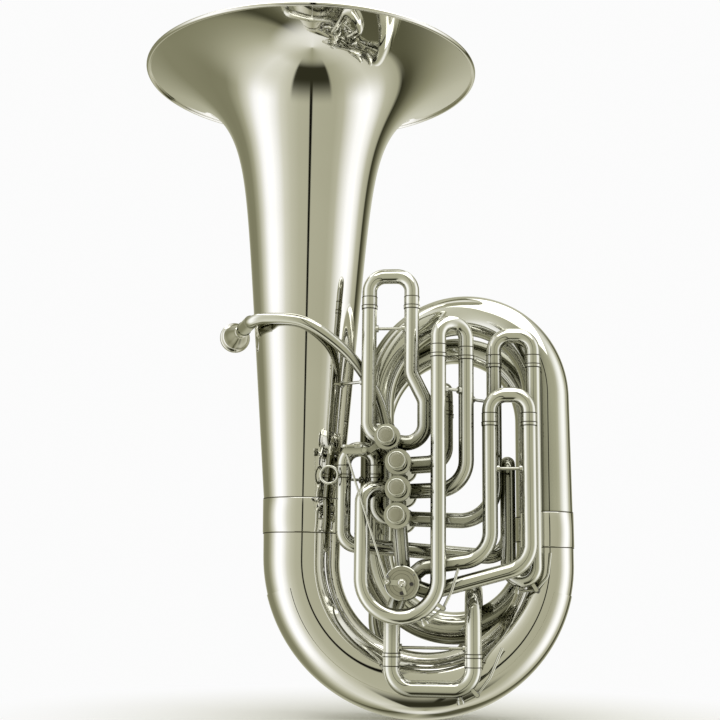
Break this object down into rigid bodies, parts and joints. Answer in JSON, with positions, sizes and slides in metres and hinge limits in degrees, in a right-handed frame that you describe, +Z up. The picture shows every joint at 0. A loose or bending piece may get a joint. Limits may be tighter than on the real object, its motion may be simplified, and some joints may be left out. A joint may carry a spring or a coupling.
{
  "type": "tuba",
  "caption": "Front-action tuba with upright bell, piston valves, a rotor with thumb linkage, pull slides and a removable mouthpiece.",
  "frame": {"origin": "lowest point of the bottom bow, where the instrument rests in the player's lap", "axes": "+Z up along the bell axis, +X from the bell to the wrap, -Y to the front where the valve buttons are"},
  "size_m": [0.6353, 0.5, 0.9511],
  "materials": {
    "silver_plate": "polished silver plate over brass, warm grey reflections",
    "monel": "lapped nickel alloy",
    "spring_steel": "spring steel",
    "rotor_brass": "turned brass",
    "felt": "pressed wool felt",
    "cork": "dark neoprene cork"
  },
  "bodies": {
    "horn": {"bell": "silver_plate", "rim_wire": "silver_plate", "bottom_bow": "silver_plate", "bow_guard": "silver_plate", "top_bow": "silver_plate", "second_bottom_bow": "silver_plate", "second_top_bow": "silver_plate", "third_bow": "silver_plate", "main_ferrules": "silver_plate", "valve_casing_1": "silver_plate", "valve_casing_2": "silver_plate", "valve_casing_3": "silver_plate", "valve_casing_4": "silver_plate", "valve_top_caps": "silver_plate", "valve_bottom_caps": "silver_plate", "cap_felts": "felt", "valve_link_tubes": "silver_plate", "valve_spring_1": "spring_steel", "valve_spring_2": "spring_steel", "valve_spring_3": "spring_steel", "valve_spring_4": "spring_steel", "leadpipe": "silver_plate", "mouthpiece_receiver": "silver_plate", "slide_1_tubes": "silver_plate", "slide_2_tubes": "silver_plate", "slide_3_tubes": "silver_plate", "slide_4_tubes": "silver_plate", "slide_5_tubes": "silver_plate", "main_slide_tubes": "silver_plate", "rotor_feed_tube": "silver_plate", "rotor_casing": "silver_plate", "rotor_front_plate": "silver_plate", "rotor_back_plate": "silver_plate", "stop_corks": "cork", "lever_post": "silver_plate", "thumb_ring": "silver_plate", "braces": "silver_plate"},
    "valve_1": {"piston_1": "monel", "finger_button_1": "silver_plate"},
    "valve_2": {"piston_2": "monel", "finger_button_2": "silver_plate"},
    "valve_3": {"piston_3": "monel", "finger_button_3": "silver_plate"},
    "valve_4": {"piston_4": "monel", "finger_button_4": "silver_plate"},
    "thumb_lever": {"thumb_lever": "silver_plate"},
    "linkage": {"linkage_rod": "silver_plate"},
    "rotor": {"rotor": "rotor_brass", "stop_arm": "silver_plate"},
    "slide_1": {"slide_1": "silver_plate"},
    "slide_2": {"slide_2": "silver_plate"},
    "slide_3": {"slide_3": "silver_plate"},
    "slide_4": {"slide_4": "silver_plate"},
    "slide_4_return": {"slide_4_return": "silver_plate"},
    "slide_5": {"slide_5": "silver_plate"},
    "main_tuning_slide": {"main_tuning_slide": "silver_plate"},
    "water_key_main": {"water_key_main": "silver_plate"},
    "water_key_third": {"water_key_third": "silver_plate"},
    "water_key_fourth": {"water_key_fourth": "silver_plate"},
    "mouthpiece": {"mouthpiece": "silver_plate"}
  },
  "joints": [
    {"name": "valve_1_press", "type": "slide", "parent": "horn", "child": "valve_1", "axis": [0, 1, 0], "range_m": [0, 0.017], "stiffness_N_per_m": 260, "springref_m": -0.012, "deforming": ["valve_spring_1"]},
    {"name": "valve_2_press", "type": "slide", "parent": "horn", "child": "valve_2", "axis": [0, 1, 0], "range_m": [0, 0.017], "stiffness_N_per_m": 260, "springref_m": -0.012, "deforming": ["valve_spring_2"]},
    {"name": "valve_3_press", "type": "slide", "parent": "horn", "child": "valve_3", "axis": [0, 1, 0], "range_m": [0, 0.017], "stiffness_N_per_m": 260, "springref_m": -0.012, "deforming": ["valve_spring_3"]},
    {"name": "valve_4_press", "type": "slide", "parent": "horn", "child": "valve_4", "axis": [0, 1, 0], "range_m": [0, 0.017], "stiffness_N_per_m": 260, "springref_m": -0.012, "deforming": ["valve_spring_4"]},
    {"name": "thumb_lever_press", "type": "hinge", "parent": "horn", "child": "thumb_lever", "pos_m": [-0.0728, -0.121, 0.35988], "axis": [0, -1, 0], "range_deg": [0, 33.82], "stiffness_Nm_per_rad": 0.25, "springref_deg": -11.46},
    {"name": "linkage_swing", "type": "hinge", "parent": "thumb_lever", "child": "linkage", "pos_m": [-0.09779, -0.121, 0.35932], "axis": [0, -1, 0], "range_deg": [-33.82, 0]},
    {"name": "rotor_turn", "type": "hinge", "parent": "horn", "child": "rotor", "pos_m": [-0.022, -0.078, 0.185], "axis": [0, -1, 0], "range_deg": [0, 45]},
    {"name": "slide_1_pull", "type": "slide", "parent": "horn", "child": "slide_1", "axis": [0, 0, 1], "range_m": [0, 0.045]},
    {"name": "slide_2_pull", "type": "slide", "parent": "horn", "child": "slide_2", "axis": [0, 0, 1], "range_m": [0, 0.026]},
    {"name": "slide_3_pull", "type": "slide", "parent": "horn", "child": "slide_3", "axis": [0, 0, 1], "range_m": [0, 0.045]},
    {"name": "slide_4_pull", "type": "slide", "parent": "horn", "child": "slide_4", "axis": [0, 0, 1], "range_m": [0, 0.045]},
    {"name": "slide_4_return_pull", "type": "slide", "parent": "horn", "child": "slide_4_return", "axis": [0, 0, 1], "range_m": [0, 0.007]},
    {"name": "slide_5_pull", "type": "slide", "parent": "horn", "child": "slide_5", "axis": [0, 0, 1], "range_m": [0, 0.045]},
    {"name": "main_slide_pull", "type": "slide", "parent": "horn", "child": "main_tuning_slide", "axis": [0, 0, -1], "range_m": [0, 0.04]},
    {"name": "water_key_main_open", "type": "hinge", "parent": "main_tuning_slide", "child": "water_key_main", "pos_m": [0.076, -0.06, 0.03983], "axis": [0, -1, 0], "range_deg": [0, 12], "stiffness_Nm_per_rad": 0.06, "springref_deg": -20.05},
    {"name": "water_key_third_open", "type": "hinge", "parent": "horn", "child": "water_key_third", "pos_m": [0.03262, -0.107, 0.15314], "axis": [0, -1, 0], "range_deg": [0, 10], "stiffness_Nm_per_rad": 0.06, "springref_deg": -20.05},
    {"name": "water_key_fourth_open", "type": "hinge", "parent": "horn", "child": "water_key_fourth", "pos_m": [0.15634, -0.0425, 0.17905], "axis": [0, -1, 0], "range_deg": [0, 10], "stiffness_Nm_per_rad": 0.06, "springref_deg": -20.05},
    {"name": "mouthpiece_pull", "type": "slide", "parent": "horn", "child": "mouthpiece", "axis": [-0.4061, 0.9133, -0.03], "range_m": [0, 0.03]}
  ],
  "couplings": [
    {"joint": "linkage_swing", "follows": "thumb_lever_press", "ratio": -1},
    {"joint": "rotor_turn", "follows": "thumb_lever_press", "ratio": 1.3307}
  ]
}
